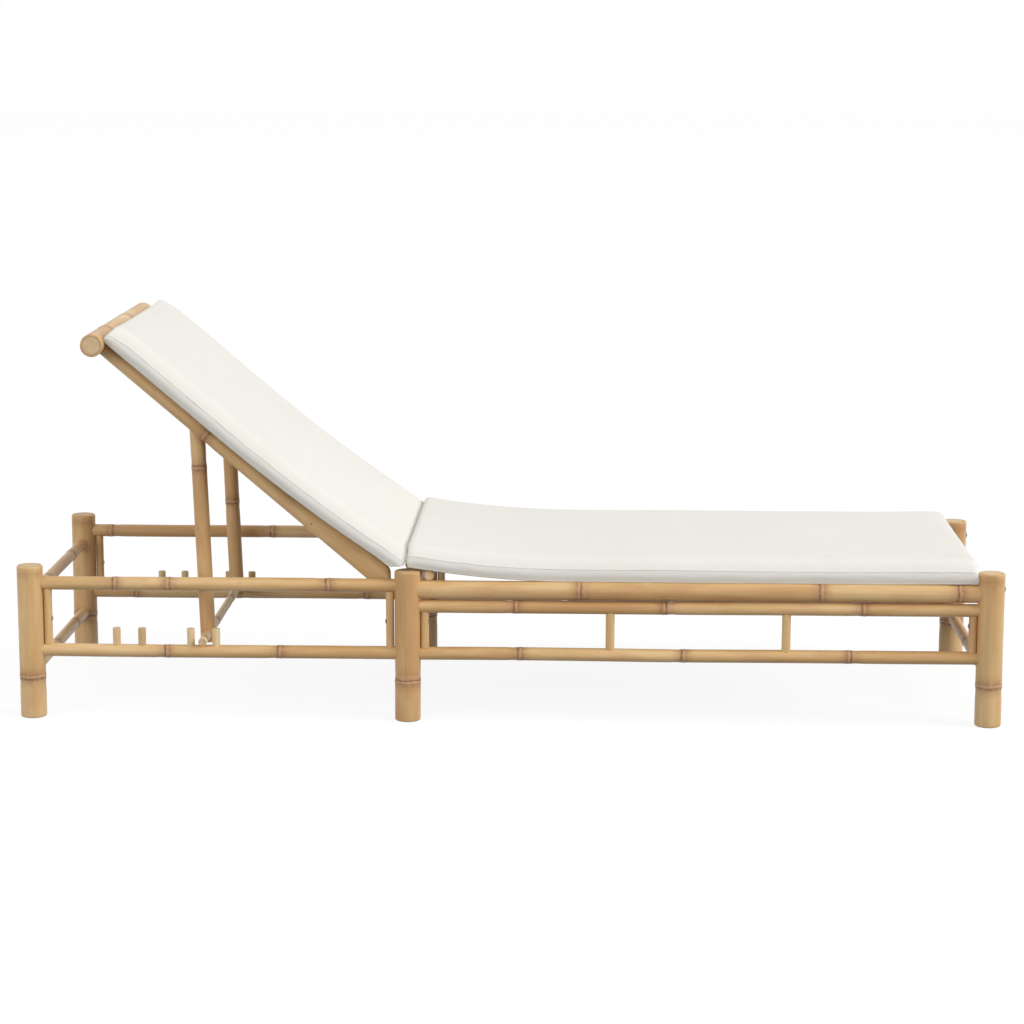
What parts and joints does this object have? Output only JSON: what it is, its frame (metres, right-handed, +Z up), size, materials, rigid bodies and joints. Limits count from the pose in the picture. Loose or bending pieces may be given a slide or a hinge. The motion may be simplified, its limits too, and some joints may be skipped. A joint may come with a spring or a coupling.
{
  "type": "sun lounger",
  "caption": "Low bamboo sun lounger with a raised hinged back, a swinging prop that rests between pegs, and flat cream cushions.",
  "frame": {"origin": "on the floor, under the middle of the bounding box", "axes": "+X along the lounger from the head end to the foot end, +Y across it to the far side, +Z up"},
  "size_m": [2.0008, 0.6518, 0.7908],
  "materials": {
    "bamboo": "satin lacquered honey bamboo with darker rings",
    "pale_bamboo": "pale bamboo, dull cut ends",
    "steel": "plain zinc-plated bolt, slightly dulled",
    "cream_fabric": "matt woven cream cover with sewn edges"
  },
  "bodies": {
    "frame": {"head_post_near": "bamboo", "head_post_far": "bamboo", "mid_post_near": "bamboo", "mid_post_far": "bamboo", "foot_post_near": "bamboo", "foot_post_far": "bamboo", "head_top_rail_near": "bamboo", "head_top_rail_far": "bamboo", "head_low_rail_near": "bamboo", "head_low_rail_far": "bamboo", "seat_rail_near": "bamboo", "seat_rail_far": "bamboo", "seat_second_rail_near": "bamboo", "seat_second_rail_far": "bamboo", "seat_low_rail_near": "bamboo", "seat_low_rail_far": "bamboo", "head_strut_near": "bamboo", "head_strut_far": "bamboo", "mid_head_strut_near": "bamboo", "mid_head_strut_far": "bamboo", "mid_foot_strut_near": "bamboo", "mid_foot_strut_far": "bamboo", "foot_strut_near": "bamboo", "foot_strut_far": "bamboo", "spindle_1_near": "bamboo", "spindle_1_far": "bamboo", "spindle_2_near": "bamboo", "spindle_2_far": "bamboo", "peg_1_near": "pale_bamboo", "peg_1_far": "pale_bamboo", "peg_2_near": "pale_bamboo", "peg_2_far": "pale_bamboo", "peg_3_near": "pale_bamboo", "peg_3_far": "pale_bamboo", "peg_4_near": "pale_bamboo", "peg_4_far": "pale_bamboo", "hinge_bolt_near": "steel", "hinge_bolt_far": "steel", "head_upper_end_rail": "bamboo", "head_lower_end_rail": "bamboo", "mid_cross_rail": "bamboo", "foot_upper_end_rail": "bamboo", "foot_lower_end_rail": "bamboo", "seat_head_slat": "bamboo", "seat_slat_1": "bamboo", "seat_slat_2": "bamboo", "seat_slat_3": "bamboo", "seat_slat_4": "bamboo", "seat_cushion": "cream_fabric"},
    "backrest": {"back_rail_near": "bamboo", "back_rail_far": "bamboo", "head_bar": "bamboo", "back_slat_1": "bamboo", "back_slat_2": "bamboo", "back_slat_3": "bamboo", "back_cushion": "cream_fabric"},
    "prop": {"prop_leg_near": "bamboo", "prop_leg_far": "bamboo", "prop_pivot_bar": "bamboo", "prop_foot_bar": "pale_bamboo"}
  },
  "joints": [
    {"name": "back_recline", "type": "hinge", "parent": "frame", "child": "backrest", "pos_m": [-0.26, 0, 0.2785], "axis": [0, 1, 0], "range_deg": [0, 12]},
    {"name": "prop_swing", "type": "hinge", "parent": "backrest", "child": "prop", "pos_m": [-0.63518, 0, 0.59894], "axis": [0, -1, 0], "range_deg": [0, 3]}
  ],
  "couplings": [
    {"joint": "prop_swing", "follows": "back_recline", "ratio": 0.25}
  ]
}
